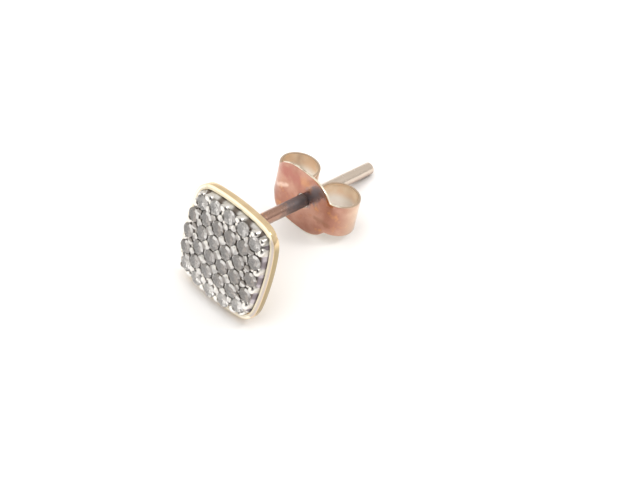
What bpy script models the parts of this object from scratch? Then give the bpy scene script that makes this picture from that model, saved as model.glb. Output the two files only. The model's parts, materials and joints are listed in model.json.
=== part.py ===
"""A square diamond pave stud earring with its butterfly clutch, lying as it rests on a table.

The head is a yellow gold tray with a soldered post. A white pave plate fills the tray and carries the round
stones between its pins. The clutch slides on the post.

Head frame: +X across the face, +Y up the face, +Z out of the face, with Z = 0 on the rim's front face.
Post frame: +Z along the post, away from the head, with Z = 0 on the head's back.
World: the head faces -Y and a little up, the post runs along +Y and dips to the table at Z = 0.
"""

from math import atan2, cos, pi, radians, sin

import bmesh
import bpy
from mathutils import Matrix, Vector

MM = 0.001

# Head outline: a square with bowed sides and small round corners
HEAD_HALF = 2.68 * MM  # centre to side, measured at the corners
SIDE_BOW = 0.12  # how much further out the middle of a side is, as a share of the half width
CORNER_POWER = 7.8  # superellipse power of the outer edge
INNER_CORNER_POWER = 12.0  # the rim's inner edge has sharper corners
OUTLINE_POINTS = 80
CORNER_GATHER = 0.6  # how strongly the outline's points gather at the corners, 0 to 1

# Gold tray
TRAY_DEPTH = 0.43 * MM  # rim face to the head's back
RIM_WIDTH = 0.245 * MM
RECESS_DEPTH = 0.28 * MM
BACK_BEVEL = 0.035 * MM
FRONT_BEVEL = 0.015 * MM

# Post, soldered to the tray's back beside the middle and leaning a little up the face
POST_RADIUS = 0.35 * MM
POST_LENGTH = 10.6 * MM
POST_X = -0.50 * MM
POST_Y = 0.42 * MM
POST_LEAN = radians(6.5)
POST_SIDES = 20
TIP_ROUND = 0.12 * MM
SOLDER_RADIUS = 0.52 * MM
SOLDER_HEIGHT = 0.14 * MM

# Pave field: the stones' tables lie on a shallow dome in front of the rim
TABLE_TOP = 0.62 * MM
DOME_FALL = 0.021 / MM  # height lost per square of the distance from the middle
BLOCK_SIDE = 4  # stones along each side of the square block in the middle
BLOCK_PITCH = 0.895 * MM
RING_STEPS = 4  # steps between stones along each side of the outer ring
RING_HALF = 2.0 * MM
RING_BOW = 0.145
RING_CORNER_PULL = 0.96  # the corner stones stand a little further in

# Stones
STONE_RADIUS = 0.39 * MM
STONE_SIDES = 8
TABLE_RADIUS = 0.24 * MM
CROWN_HEIGHT = 0.11 * MM
GIRDLE_HEIGHT = 0.03 * MM
PAVILION_DEPTH = 0.33 * MM
CULET_RADIUS = 0.03 * MM

# Pave plate
PLATE_GAP = 0.03 * MM  # to the tray all round
SEAT_GAP = 0.02 * MM  # round each stone
METAL_BELOW_TABLE = 0.17 * MM
LEDGE_LEVEL = -0.02 * MM  # the plate's edge, just below the rim's face
SHOULDER_SCALE = 0.93  # share of the outline where the ledge ends
SHOULDER_LEVEL = 0.06 * MM
DOME_SCALES = (0.86, 0.72, 0.54, 0.34, 0.16)

# Pins
PIN_SIDES = 10
BLOCK_PIN_RADIUS = 0.17 * MM
RING_PIN_RADIUS = 0.14 * MM
RIM_PIN_RADIUS = 0.21 * MM
CORNER_PIN_RADIUS = 0.15 * MM
PIN_BELOW_TABLE = 0.01 * MM
PIN_ROUND = 0.06 * MM

# Butterfly clutch, bent from one strip
CLUTCH_AT = 5.43 * MM  # head's back to the clutch's front face, along the post
SHEET = 0.12 * MM
DISC_HALF_WIDTH = 2.00 * MM
DISC_HALF_HEIGHT = 1.725 * MM  # its lower edge reaches the table just as the post's tip does
DISC_POWER = 2.8  # a little squarer than an ellipse, whose power is 2
DISC_SHIFT = -0.20 * MM  # the hole is pierced beside the disc's middle
STRIP_HALF = 0.95 * MM
STRIP_END_HALF = 0.90 * MM
EAR_HALF_WIDTH = 1.11 * MM  # outside of each rolled ear, across the post
EAR_HALF_DEPTH = 1.08 * MM  # outside of each rolled ear, along the post
EAR_TURN = radians(298)
EAR_CLEARANCE = 0.03 * MM  # each ear to the post
HOLE_CLEARANCE = 0.05 * MM
STRIP_STEPS = 96
HOLE_SIDES = 20

HAIR = 0.1 * MM  # how far a cutter reaches past what it cuts
WELD = 0.0001 * MM  # vertices closer than this are one

COLLECTION = "pave_stud_earring"


def collection(name):
    made = bpy.data.collections.new(name)
    bpy.context.scene.collection.children.link(made)
    return made


def material(name, colour, roughness, metallic):
    made = bpy.data.materials.new(name)
    made.use_nodes = True
    shader = made.node_tree.nodes["Principled BSDF"]
    shader.inputs["Base Color"].default_value = (*colour, 1.0)
    shader.inputs["Roughness"].default_value = roughness
    shader.inputs["Metallic"].default_value = metallic
    made.diffuse_color = (*colour, 1.0)
    return made


def mesh_object(name, bm, home, parent, finish=None):
    """Make an object of the bmesh, in the home collection and under the parent."""
    bmesh.ops.recalc_face_normals(bm, faces=bm.faces)
    mesh = bpy.data.meshes.new(name)
    bm.to_mesh(mesh)
    bm.free()
    if finish:
        mesh.materials.append(finish)
    made = bpy.data.objects.new(name, mesh)
    made.parent = parent
    home.objects.link(made)
    return made


def as_cutter(made):
    made.hide_render = True
    made.display_type = "WIRE"
    return made


def boolean(target, operand, operation):
    step = target.modifiers.new(f"{operation.lower()}_{operand.name}", "BOOLEAN")
    step.operation = operation
    step.solver = "EXACT"
    step.object = operand


def outline_point(angle, half, power):
    """A point on a square outline with bowed sides, at the polar angle."""
    across, up = cos(angle), sin(angle)
    reach = (abs(across) ** power + abs(up) ** power) ** (-1 / power)
    x, y = reach * across, reach * up
    bow = 1 + SIDE_BOW * (1 - min(abs(x), abs(y)) ** 2)
    return Vector((half * x * bow, half * y * bow, 0))


def outline_face(bm, half, power, level):
    """The outline as one flat face at the level."""
    corners = []
    for k in range(OUTLINE_POINTS):
        even = 2 * pi * (k + 0.5) / OUTLINE_POINTS
        angle = even + CORNER_GATHER * sin(4 * even) / 4
        corners.append(bm.verts.new(outline_point(angle, half, power) + Vector((0, 0, level))))
    return bm.faces.new(corners)


def closed_outline(bm, half, power, level):
    """The outline's face to raise, over a second one that closes the shape below."""
    face = outline_face(bm, half, power, level)
    bm.faces.new([bm.verts.new(vertex.co) for vertex in reversed(face.verts)])
    return face


def raise_face(bm, face, level, scale=1.0):
    """Extrude a flat face to the level and scale the new face about the middle."""
    made = bmesh.ops.extrude_face_region(bm, geom=[face])["geom"]
    bmesh.ops.delete(bm, geom=[face], context="FACES_ONLY")
    top = next(item for item in made if isinstance(item, bmesh.types.BMFace))
    for vertex in top.verts:
        vertex.co = Vector((vertex.co.x * scale, vertex.co.y * scale, level))
    return top


def slab(bm, half, power, low, high):
    """A closed block of the outline between two levels."""
    raise_face(bm, closed_outline(bm, half, power, low), high)
    bmesh.ops.remove_doubles(bm, verts=bm.verts, dist=WELD)


def turned(bm, rows, sides, placing):
    """A closed many-sided shape from rows of (radius, level), lowest first."""
    rings = []
    for radius, level in rows:
        made = bmesh.ops.create_circle(bm, segments=sides, radius=radius)["verts"]
        bmesh.ops.translate(bm, verts=made, vec=(0, 0, level))
        bmesh.ops.transform(bm, verts=made, matrix=placing)
        rings.append(made)
    for lower, upper in zip(rings, rings[1:]):
        edges = {edge for vertex in lower + upper for edge in vertex.link_edges}
        loops = [edge for edge in edges if edge.verts[0] in lower and edge.verts[1] in lower]
        loops += [edge for edge in edges if edge.verts[0] in upper and edge.verts[1] in upper]
        bmesh.ops.bridge_loops(bm, edges=loops)
    bm.faces.new(rings[0])
    bm.faces.new(rings[-1])


def table_level(x, y):
    """Height of the stones' tables over the rim's face."""
    return TABLE_TOP - DOME_FALL * (x * x + y * y)


def block_places():
    middle = (BLOCK_SIDE - 1) / 2
    steps = [(k - middle) * BLOCK_PITCH for k in range(BLOCK_SIDE)]
    return [[Vector((x, y)) for x in steps] for y in reversed(steps)]


def ring_side():
    """Stones of the top side of the ring, from its left corner to its right corner."""
    places = []
    for k in range(RING_STEPS + 1):
        share = 2 * k / RING_STEPS - 1
        place = Vector((share, 1 + RING_BOW * (1 - share * share))) * RING_HALF
        places.append(place * (RING_CORNER_PULL if abs(share) == 1 else 1))
    return places


def quarter_turns(place, turns):
    """The place turned clockwise about the middle of the face by quarter turns."""
    for _ in range(turns):
        place = Vector((place.y, -place.x))
    return place


def stone_places():
    block = [place for row in block_places() for place in row]
    ring = [quarter_turns(place, turns) for turns in range(4) for place in ring_side()[:-1]]
    return block + ring


def equally_far(a, b, c):
    """The point equally far from three stones, where a pin has the most room."""
    p, q = b - a, c - a
    spin = 2 * p.cross(q)
    x = (q.y * p.length_squared - p.y * q.length_squared) / spin
    y = (p.x * q.length_squared - q.x * p.length_squared) / spin
    return a + Vector((x, y))


def pin_places():
    """Rows of (place, radius) for all the pins between and round the stones."""
    block = block_places()
    ring = ring_side()
    pins = []
    for row in range(BLOCK_SIDE - 1):
        for column in range(BLOCK_SIDE - 1):
            place = (block[row][column] + block[row + 1][column + 1]) / 2
            pins.append((place, BLOCK_PIN_RADIUS))
    plate_half = HEAD_HALF - RIM_WIDTH - PLATE_GAP
    for turns in range(4):
        side = []
        for k in range(BLOCK_SIDE):
            side.append((equally_far(ring[k], ring[k + 1], block[0][k]), RING_PIN_RADIUS))
        for k in range(1, BLOCK_SIDE):
            side.append((equally_far(ring[k], block[0][k - 1], block[0][k]), RING_PIN_RADIUS))
        for k in range(RING_STEPS):
            between = (ring[k] + ring[k + 1]) / 2
            angle = atan2(between.y, between.x)
            place = outline_point(angle, plate_half - RIM_PIN_RADIUS, INNER_CORNER_POWER)
            side.append((place.xy, RIM_PIN_RADIUS))
        corner = outline_point(pi / 4, plate_half - CORNER_PIN_RADIUS * 0.7, INNER_CORNER_POWER)
        side.append((corner.xy, CORNER_PIN_RADIUS))
        pins += [(quarter_turns(place, turns), radius) for place, radius in side]
    return pins


def stone_placing(place):
    """Where a stone's table centre goes, tilted with the dome."""
    slope = Vector((2 * DOME_FALL * place.x, 2 * DOME_FALL * place.y, 1)).normalized()
    turn = Vector((0, 0, 1)).rotation_difference(slope).to_matrix().to_4x4()
    return Matrix.Translation((place.x, place.y, table_level(place.x, place.y))) @ turn


def stone_rows():
    girdle_top = -CROWN_HEIGHT
    girdle_low = girdle_top - GIRDLE_HEIGHT
    return [
        (CULET_RADIUS, girdle_low - PAVILION_DEPTH),
        (STONE_RADIUS, girdle_low),
        (STONE_RADIUS, girdle_top),
        (TABLE_RADIUS, 0.0),
    ]


def make_stones(home, parent, finish):
    bm = bmesh.new()
    turned(bm, stone_rows(), STONE_SIDES, Matrix.Rotation(pi / STONE_SIDES, 4, "Z"))
    first = None
    for number, place in enumerate(stone_places(), start=1):
        name = f"diamond_{number:02d}"
        if first is None:
            stone = first = mesh_object(name, bm, home, parent, finish)
        else:
            stone = bpy.data.objects.new(name, first.data)
            stone.parent = parent
            home.objects.link(stone)
        stone.matrix_local = stone_placing(place)


def make_seats(home, parent):
    """Cutter for the stones' seats: each pavilion with a little room, and a straight bore above it."""
    bm = bmesh.new()
    radius = STONE_RADIUS + SEAT_GAP
    girdle_low = -CROWN_HEIGHT - GIRDLE_HEIGHT
    rows = [
        (CULET_RADIUS + SEAT_GAP / 2, girdle_low - PAVILION_DEPTH - 1.5 * SEAT_GAP),
        (radius, girdle_low - SEAT_GAP / 2),
        (radius, HAIR),
    ]
    for place in stone_places():
        turned(bm, rows, STONE_SIDES, stone_placing(place) @ Matrix.Rotation(pi / STONE_SIDES, 4, "Z"))
    return as_cutter(mesh_object("seat_cutter", bm, home, parent))


def make_pins(home, parent):
    """All the pins as closed posts that start inside the plate."""
    bm = bmesh.new()
    for place, radius in pin_places():
        top = table_level(place.x, place.y) - PIN_BELOW_TABLE
        rows = [
            (radius, LEDGE_LEVEL - HAIR),
            (radius, top - PIN_ROUND),
            (radius * 0.86, top - PIN_ROUND * 0.35),
            (radius * 0.5, top),
        ]
        turned(bm, rows, PIN_SIDES, Matrix.Translation((place.x, place.y, 0)))
    return as_cutter(mesh_object("pins", bm, home, parent))


def make_pave_plate(home, cutters, parent, finish):
    bm = bmesh.new()
    half = HEAD_HALF - RIM_WIDTH - PLATE_GAP
    top = closed_outline(bm, half, INNER_CORNER_POWER, -RECESS_DEPTH + PLATE_GAP)
    top = raise_face(bm, top, LEDGE_LEVEL)
    reach = SHOULDER_SCALE
    top = raise_face(bm, top, SHOULDER_LEVEL, reach)
    side = half * (1 + SIDE_BOW)
    for scale in DOME_SCALES:
        level = table_level(side * scale, 0) - METAL_BELOW_TABLE
        top = raise_face(bm, top, level, scale / reach)
        reach = scale
    bmesh.ops.remove_doubles(bm, verts=bm.verts, dist=WELD)
    plate = mesh_object("pave_plate", bm, home, parent, finish)
    boolean(plate, make_pins(cutters, parent), "UNION")
    boolean(plate, make_seats(cutters, parent), "DIFFERENCE")
    return plate


def make_post(home, parent):
    """The post and the solder round its foot, starting a little inside the tray's back."""
    bm = bmesh.new()
    shank_end = POST_LENGTH - TIP_ROUND
    rows = [
        (SOLDER_RADIUS, -(TRAY_DEPTH - RECESS_DEPTH) / 2),
        (SOLDER_RADIUS, POST_RADIUS * sin(POST_LEAN)),
        (POST_RADIUS + (SOLDER_RADIUS - POST_RADIUS) * 0.3, SOLDER_HEIGHT * 0.5),
        (POST_RADIUS, SOLDER_HEIGHT),
        (POST_RADIUS, shank_end),
        (POST_RADIUS * 0.87, POST_LENGTH - TIP_ROUND * 0.35),
        (POST_RADIUS * 0.5, POST_LENGTH),
    ]
    turned(bm, rows, POST_SIDES, Matrix.Identity(4))
    return as_cutter(mesh_object("post", bm, home, parent))


def make_gold_tray(home, cutters, head, post_frame, finish):
    bm = bmesh.new()
    slab(bm, HEAD_HALF, CORNER_POWER, -TRAY_DEPTH, 0.0)
    back = [edge for edge in bm.edges if all(vertex.co.z < -TRAY_DEPTH / 2 for vertex in edge.verts)]
    front = [edge for edge in bm.edges if all(vertex.co.z > -TRAY_DEPTH / 2 for vertex in edge.verts)]
    for edges, width in ((back, BACK_BEVEL), (front, FRONT_BEVEL)):
        bmesh.ops.bevel(bm, geom=edges, offset=width, segments=1, profile=0.5, affect="EDGES")
    tray = mesh_object("gold_tray_with_post", bm, home, head, finish)
    recess = bmesh.new()
    slab(recess, HEAD_HALF - RIM_WIDTH, INNER_CORNER_POWER, -RECESS_DEPTH, HAIR)
    boolean(tray, as_cutter(mesh_object("recess_cutter", recess, cutters, head)), "DIFFERENCE")
    boolean(tray, make_post(cutters, post_frame), "UNION")
    return tray


def ear_centre():
    """Distance from the post's axis to the middle of a rolled ear."""
    return POST_RADIUS + EAR_CLEARANCE + EAR_HALF_WIDTH


def strip_place(along, side):
    """A point of the clutch's strip: along runs from the middle of the plate into an ear, side is -1 to 1."""
    centre = ear_centre()
    across = EAR_HALF_WIDTH - SHEET / 2
    deep = EAR_HALF_DEPTH - SHEET / 2
    way = 1 if along >= 0 else -1
    turn = max(abs(along) - centre, 0) * 2 / (across + deep)
    inside = 1 - abs((along - DISC_SHIFT) / DISC_HALF_WIDTH) ** DISC_POWER
    disc = DISC_HALF_HEIGHT * max(inside, 0) ** (1 / DISC_POWER)
    strip = STRIP_HALF + (STRIP_END_HALF - STRIP_HALF) * turn / EAR_TURN
    half = (disc**6 + strip**6) ** (1 / 6)
    x = min(abs(along), centre) + across * sin(turn)
    z = deep * (1 - cos(turn)) + SHEET / 2
    return Vector((way * x, side * half, z))


def make_clutch(home, cutters, parent, finish):
    bm = bmesh.new()
    bmesh.ops.create_grid(bm, x_segments=STRIP_STEPS, y_segments=1, size=1)
    reach = ear_centre() + EAR_TURN * (EAR_HALF_WIDTH + EAR_HALF_DEPTH - SHEET) / 2
    for vertex in bm.verts:
        vertex.co = strip_place(vertex.co.x * reach, vertex.co.y)
    clutch = mesh_object("butterfly_clutch", bm, home, parent, finish)
    clutch.location = (0, 0, CLUTCH_AT)
    wall = clutch.modifiers.new("sheet", "SOLIDIFY")
    wall.thickness = SHEET
    wall.offset = 0
    wall.use_even_offset = True
    hole = bmesh.new()
    rows = [(POST_RADIUS + HOLE_CLEARANCE, -HAIR), (POST_RADIUS + HOLE_CLEARANCE, SHEET + HAIR)]
    turned(hole, rows, HOLE_SIDES, Matrix.Identity(4))
    cutter = as_cutter(mesh_object("hole_cutter", hole, cutters, clutch))
    boolean(clutch, cutter, "DIFFERENCE")
    return clutch


def rest_dip():
    """How far the head leans back when it lies on its lower side and on the clutch or the post's tip."""
    low = Vector((-HEAD_HALF * (1 + SIDE_BOW), -TRAY_DEPTH + BACK_BEVEL))
    along = Vector((sin(POST_LEAN), -cos(POST_LEAN)))
    down = Vector((-cos(POST_LEAN), -sin(POST_LEAN)))
    foot = Vector((POST_Y, -TRAY_DEPTH))
    plate_low = strip_place(DISC_SHIFT, 1).y
    tail = [
        foot + along * (POST_LENGTH - TIP_ROUND) + down * POST_RADIUS,
        foot + along * POST_LENGTH + down * POST_RADIUS / 2,
        foot + along * CLUTCH_AT + down * plate_low,
        foot + along * (CLUTCH_AT + SHEET) + down * plate_low,
        foot + along * (CLUTCH_AT + 2 * EAR_HALF_DEPTH) + down * STRIP_HALF,
    ]
    return min(atan2(point.x - low.x, low.y - point.y) for point in tail)


def empty(name, home, parent, place, turn):
    made = bpy.data.objects.new(name, None)
    made.parent = parent
    made.location = place
    made.rotation_euler = turn
    made.empty_display_size = MM
    home.objects.link(made)
    return made


def stand_on_table(root, home):
    """Move the whole so that the bottom centre of its box is at the origin."""
    view = bpy.context.evaluated_depsgraph_get()
    points = []
    for piece in home.objects:
        if piece.type == "MESH":
            shown = piece.evaluated_get(view)
            points += [shown.matrix_world @ vertex.co for vertex in shown.to_mesh().vertices]
            shown.to_mesh_clear()
    low = Vector([min(point[axis] for point in points) for axis in range(3)])
    high = Vector([max(point[axis] for point in points) for axis in range(3)])
    root.location = -Vector(((low.x + high.x) / 2, (low.y + high.y) / 2, low.z))


def main():
    for old in list(bpy.data.objects):
        bpy.data.objects.remove(old)
    home = collection(COLLECTION)
    cutters = collection(f"{COLLECTION}_cutters")
    yellow_gold = material("yellow_gold", (0.80, 0.60, 0.34), 0.25, 1.0)
    white_rhodium = material("white_rhodium", (0.72, 0.70, 0.67), 0.22, 1.0)
    diamond = material("diamond", (0.80, 0.80, 0.79), 0.03, 0.0)
    pink_gold = material("pink_gold", (0.78, 0.52, 0.38), 0.30, 1.0)

    table = empty("table", home, None, (0, 0, 0), (0, 0, 0))
    head = empty("head", home, table, (0, 0, 0), (pi / 2 - rest_dip(), 0, 0))
    foot = (POST_X, POST_Y, -TRAY_DEPTH)
    post_frame = empty("post_frame", home, head, foot, (pi + POST_LEAN, 0, 0))

    make_gold_tray(home, cutters, head, post_frame, yellow_gold)
    make_pave_plate(home, cutters, head, white_rhodium)
    make_stones(home, head, diamond)
    make_clutch(home, cutters, post_frame, pink_gold)
    stand_on_table(table, home)


main()
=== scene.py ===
"""The looks of a square diamond pave stud earring with its butterfly clutch, lying by itself on a pale table.

Head frame: +X across the face, +Y up it and +Z out of it, with Z = 0 on the rim's front face.
Post frame: +Z along the post, away from the head, with Z = 0 on the head's back.
Clutch frame: the post frame, moved along the post to the clutch's front.
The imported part's two mounts say where these frames are. Shapes are modelled in millimetres in them, and
placed when they are finished.
"""

import json
from math import atan2, cos, pi, radians, sin, tan

import bmesh
import bpy
from mathutils import Matrix, Vector


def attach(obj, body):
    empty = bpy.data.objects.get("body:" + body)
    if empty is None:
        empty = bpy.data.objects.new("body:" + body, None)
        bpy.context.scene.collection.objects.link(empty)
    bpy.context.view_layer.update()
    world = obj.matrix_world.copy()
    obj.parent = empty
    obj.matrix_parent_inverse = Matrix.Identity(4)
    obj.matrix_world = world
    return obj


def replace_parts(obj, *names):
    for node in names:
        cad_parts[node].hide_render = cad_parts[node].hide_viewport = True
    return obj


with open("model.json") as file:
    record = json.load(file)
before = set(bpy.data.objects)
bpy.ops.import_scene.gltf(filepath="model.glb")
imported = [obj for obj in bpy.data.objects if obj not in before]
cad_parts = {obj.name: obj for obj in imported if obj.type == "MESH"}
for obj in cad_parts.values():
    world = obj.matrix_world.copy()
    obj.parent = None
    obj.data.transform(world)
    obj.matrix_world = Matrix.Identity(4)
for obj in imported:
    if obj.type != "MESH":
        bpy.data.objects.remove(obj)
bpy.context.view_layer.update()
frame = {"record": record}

MM = 0.001

# Head outline, in millimetres as all sizes below
HEAD_HALF = 2.68
SIDE_BOW = 0.12  # how far each side bulges, as a share of half a side
CORNER_POWER = 7.8  # the higher this is, the squarer the corners are
INNER_CORNER_POWER = 12.0
OUTLINE_POINTS = 160
CORNER_GATHER = 0.6  # how much closer together the points stand at the corners

# Gold tray
TRAY_DEPTH = 0.43
RIM_WIDTH = 0.245
RIM_FALL = 0.05  # how much lower the rim's outer edge lies than its inner edge
RECESS_DEPTH = 0.28
BACK_ROUND = 0.035
FRONT_ROUND = 0.02
LIP_ROUND = 0.3  # the inner lip's small chamfer, as a share of FRONT_ROUND
FRONT_MOUNT_X = 1.0  # the mount on the tray's back, beside the middle

# Post
POST_RADIUS = 0.35
POST_LENGTH = 10.6
POST_SIDES = 40
POST_STEPS = 11
TIP_ROUND = 0.12
SOLDER_RADIUS = 0.52
SOLDER_HEIGHT = 0.14
SOLDER_FOOT = 0.02  # the straight foot of the solder's collar
SOLDER_STEPS = 6

# Pave field
TABLE_TOP = 0.62  # the level of a stone's table in the middle of the face
DOME_FALL = 0.021  # height lost per square of the distance from the middle
BLOCK_SIDE = 4  # stones along each side of the square block in the middle
BLOCK_PITCH = 0.895
RING_STEPS = 4  # steps from stone to stone along each side of the ring round the block
RING_HALF = 2.0
RING_BOW = 0.145
RING_CORNER_PULL = 0.96

# Stones
STONE_RADIUS = 0.39
STONE_TURN = radians(37)  # how much further each stone is turned than the one before
GIRDLE_SIDES = 32
FACETS_ROUND = 8
CROWN_HEIGHT = 0.06
GIRDLE_HEIGHT = 0.03
PAVILION_DEPTH = 0.33
CROWN_SLOPE = radians(23)
PAVILION_SLOPE = radians(40.75)
# A crown facet that faces the painted light side squarely enough gets a painted glint
LIT_FACET_TURN = 0.72  # how squarely a crown facet faces the lee side to be a lit one
DIAMOND_IOR = 2.42

# Plate between the stones
PLATE_GAP = 0.03
SEAT_GAP = 0.02
SEAT_SIDES = 24
SEAT_TIP_RADIUS = 0.03
METAL_BELOW_TABLE = 0.075
BEVEL_LOW = -0.12  # where the bevel round each seat starts, measured from the stone's table
BEVEL_WIDTH = 0.16
BEVEL_SLOPE = radians(27)
LEDGE_LEVEL = -0.02  # the flat ledge along the rim
SHOULDER_SCALE = 0.95  # where the slope up from the ledge ends, as a share of the plate
SHOULDER_LEVEL = 0.20
DOME_SCALE = 0.88  # the dome's rings stand evenly inside this share of the plate
DOME_STEPS = 12
LEDGE_PATCH_START = 0.5  # the first light patch on the ledge, from the middle of each side
LEDGE_PATCH_PITCH = 0.97

# Pins
PIN_SIDES = 16
PIN_STEPS = 5
PIN_TOP_FLAT = 0.6  # the part of a step that stays flat on a pin's top
PIN_RADIUS = {"block": 0.30, "ring": 0.19, "rim": 0.21, "corner": 0.20}
BESIDE_RIM = ("rim", "corner")  # the kinds of pin that stand outside the ring of stones
CORNER_PIN_PULL = 0.7  # how far a corner pin stands in from the plate's edge, as a share of its radius
RIM_PIN_STRETCH = 1.25
WORN_PIN_ROUND = 0.22  # how far a worn pin's edge falls, as a share of its radius
RIM_PIN_ROUND = 0.75  # the same for a pin beside the rim

# Painted light on the plate: the side of each stone, across and up the face, where shade is painted on the
# plate, and towards which pins and crown facets get painted highlights
PAINTED_LIGHT_SIDE = (0.65, 0.76)
ON_WORN_PIN = -2.0  # marks that stand for a pin where other faces have their side of the stone, -1 to 1
ON_RIM_PIN = -4.0
# A worn pin's darker side is painted shade and its brighter side a painted highlight
WORN_LEAN = 1.6  # how sharply a worn pin turns from dull to bright

# Clutch
CLUTCH_AT = 5.43  # its front, along the post
SHEET = 0.12
DISC_HALF_WIDTH = 2.00
DISC_HALF_HEIGHT = 1.725
DISC_POWER = 2.8
DISC_SHIFT = -0.20  # the middle of the plate, beside the post
STRIP_HALF = 0.95
STRIP_END_HALF = 0.90
STRIP_STEPS = 180
STRIP_ROWS = 8
NECK_POWER = 6  # the higher this is, the tighter the corner between the plate and an ear
EAR_HALF_WIDTH = 1.11
EAR_HALF_DEPTH = 1.08
EAR_TURN = radians(298)  # how far round each ear is rolled
EAR_CLEARANCE = 0.03
HOLE_CLEARANCE = 0.05
HOLE_SIDES = 32
EDGE_ROUND = 0.018
EDGE_ANGLE = radians(50)  # an edge of the sheet that turns by more than this is rounded
CUT_EDGE_SLANT = 0.3  # a face that leans this much along the sheet's width is part of its cut edge
BACK_MOUNT_X = 0.95  # the mount on the clutch's plate, beside the hole

# Camera, from the photograph
PHOTO_WIDTH = 640
PHOTO_HEIGHT = 480
FOCAL_PIXELS = 1803.9
SENSOR_WIDTH = 36
CAMERA_AZIMUTH = radians(47.01)
CAMERA_ELEVATION = radians(50.28)
CAMERA_ROLL = radians(-1.70)
CAMERA_DISTANCE = 90
FACE_PIXEL_X = 225.3
FACE_PIXEL_Y = 252.0

HAIR = 0.1  # how far cutters, and pieces let into others, reach past a surface


def mount(name):
    """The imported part's mount of this name."""
    return next(row for row in frame["record"]["mounts"] if row["name"] == name)


def frame_at(place, out):
    """A frame with its X axis across the earring and its Z axis along out, at a place in metres."""
    across = Vector((1, 0, 0))
    up = out.cross(across)
    axes = Matrix((across, up, out)).transposed().to_4x4()
    return Matrix.Translation(place) @ axes @ Matrix.Diagonal((MM, MM, MM, 1))


def head_frame():
    """The head's frame, worked out from the mount on the tray's back."""
    row = mount("lobe_front_face")
    out = -Vector(row["axis"]).normalized()
    middle = Vector(row["pos_m"]) - Vector((FRONT_MOUNT_X * MM, 0, 0)) + out * TRAY_DEPTH * MM
    return frame_at(middle, out)


def post_frame():
    """The post's frame, worked out from the mount on the clutch's plate."""
    row = mount("lobe_back_face")
    along = -Vector(row["axis"]).normalized()
    foot = Vector(row["pos_m"]) - Vector((BACK_MOUNT_X * MM, 0, 0)) - along * CLUTCH_AT * MM
    return frame_at(foot, along)


HEAD = head_frame()
POST = post_frame()
CLUTCH = POST @ Matrix.Translation((0, 0, CLUTCH_AT))


# Mesh helpers

def mesh_of(name, bm):
    """Turn a bmesh into a mesh, and let go of it."""
    mesh = bpy.data.meshes.new(name)
    bm.to_mesh(mesh)
    bm.free()
    return mesh


def in_scene(name, data):
    """A new object in the scene for a mesh, light or camera."""
    made = bpy.data.objects.new(name, data)
    bpy.context.scene.collection.objects.link(made)
    return made


def finished(name, bm, placing, body, finishes, sharp=30):
    """Put the shape in its place and make it a piece that rides on a body.

    Edges that turn by more than sharp degrees stay crisp, and where sharp is 0 every face stays flat.
    """
    bmesh.ops.transform(bm, matrix=placing, verts=bm.verts)
    mesh = mesh_of(name, bm)
    for finish in finishes:
        mesh.materials.append(finish)
    if sharp:
        mesh.shade_smooth()
        mesh.set_sharp_from_angle(angle=radians(sharp))
    piece = in_scene(name, mesh)
    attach(piece, body)
    return piece


def outline_point(angle, half, power):
    """A point on a square outline with bowed sides, at the polar angle."""
    across, up = cos(angle), sin(angle)
    reach = (abs(across) ** power + abs(up) ** power) ** (-1 / power)
    x, y = reach * across, reach * up
    bow = 1 + SIDE_BOW * (1 - min(abs(x), abs(y)) ** 2)
    return Vector((half * x * bow, half * y * bow, 0))


def outline(half, power, level):
    """All the points of the head's outline at a level, gathered at the corners."""
    points = []
    for k in range(OUTLINE_POINTS):
        even = 2 * pi * (k + 0.5) / OUTLINE_POINTS
        angle = even + CORNER_GATHER * sin(4 * even) / 4
        points.append(outline_point(angle, half, power) + Vector((0, 0, level)))
    return points


def ring_of(bm, points):
    """A closed ring of edges through the points."""
    ring = bmesh.ops.create_circle(bm, segments=len(points), radius=1)["verts"]
    for vertex, point in zip(ring, points):
        vertex.co = point
    return ring


def settle_order(bm):
    """Sort edges and faces by their vertices, because extruding leaves them in another order each run."""
    bm.verts.index_update()
    count = len(bm.verts)

    def rank(part):
        places = [vertex.index for vertex in part.verts]
        return min(places) * count + max(places)

    bm.edges.sort(key=rank)
    bm.faces.sort(key=rank)


def skin(bm, rings):
    """Close a shape over rings of equal counts, by raising its first face from ring to ring."""
    face = bm.faces.new(ring_of(bm, rings[0]))
    for number, points in enumerate(rings[1:]):
        made = bmesh.ops.extrude_face_region(bm, geom=[face])["geom"]
        if number:
            bmesh.ops.delete(bm, geom=[face], context="FACES_ONLY")
        face = next(item for item in made if isinstance(item, bmesh.types.BMFace))
        for vertex, point in zip(face.verts, points):
            vertex.co = point
    bmesh.ops.recalc_face_normals(bm, faces=bm.faces)
    settle_order(bm)


def circle(radius, level, sides, placing=Matrix.Identity(4)):
    """A round ring of points at a level, put in its place."""
    turns = [2 * pi * k / sides for k in range(sides)]
    return [placing @ Vector((radius * cos(turn), radius * sin(turn), level)) for turn in turns]


def rounded_top(radius, top, share):
    """Rows of (radius, level) for a pin's top, whose edge falls by a share of the radius."""
    rows = []
    for k in range(PIN_STEPS + 1):
        turn = pi / 2 * k / (PIN_STEPS + PIN_TOP_FLAT)
        rows.append((radius * cos(turn), top - radius * share * (1 - sin(turn))))
    return rows


def shaped(name, rings_of_all):
    """A scratch object of one or more closed shapes, in millimetres."""
    bm = bmesh.new()
    for rings in rings_of_all:
        part = bmesh.new()
        skin(part, rings)
        mesh = mesh_of(name, part)
        bm.from_mesh(mesh)
        bpy.data.meshes.remove(mesh)
    return in_scene(name, mesh_of(name, bm))


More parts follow.
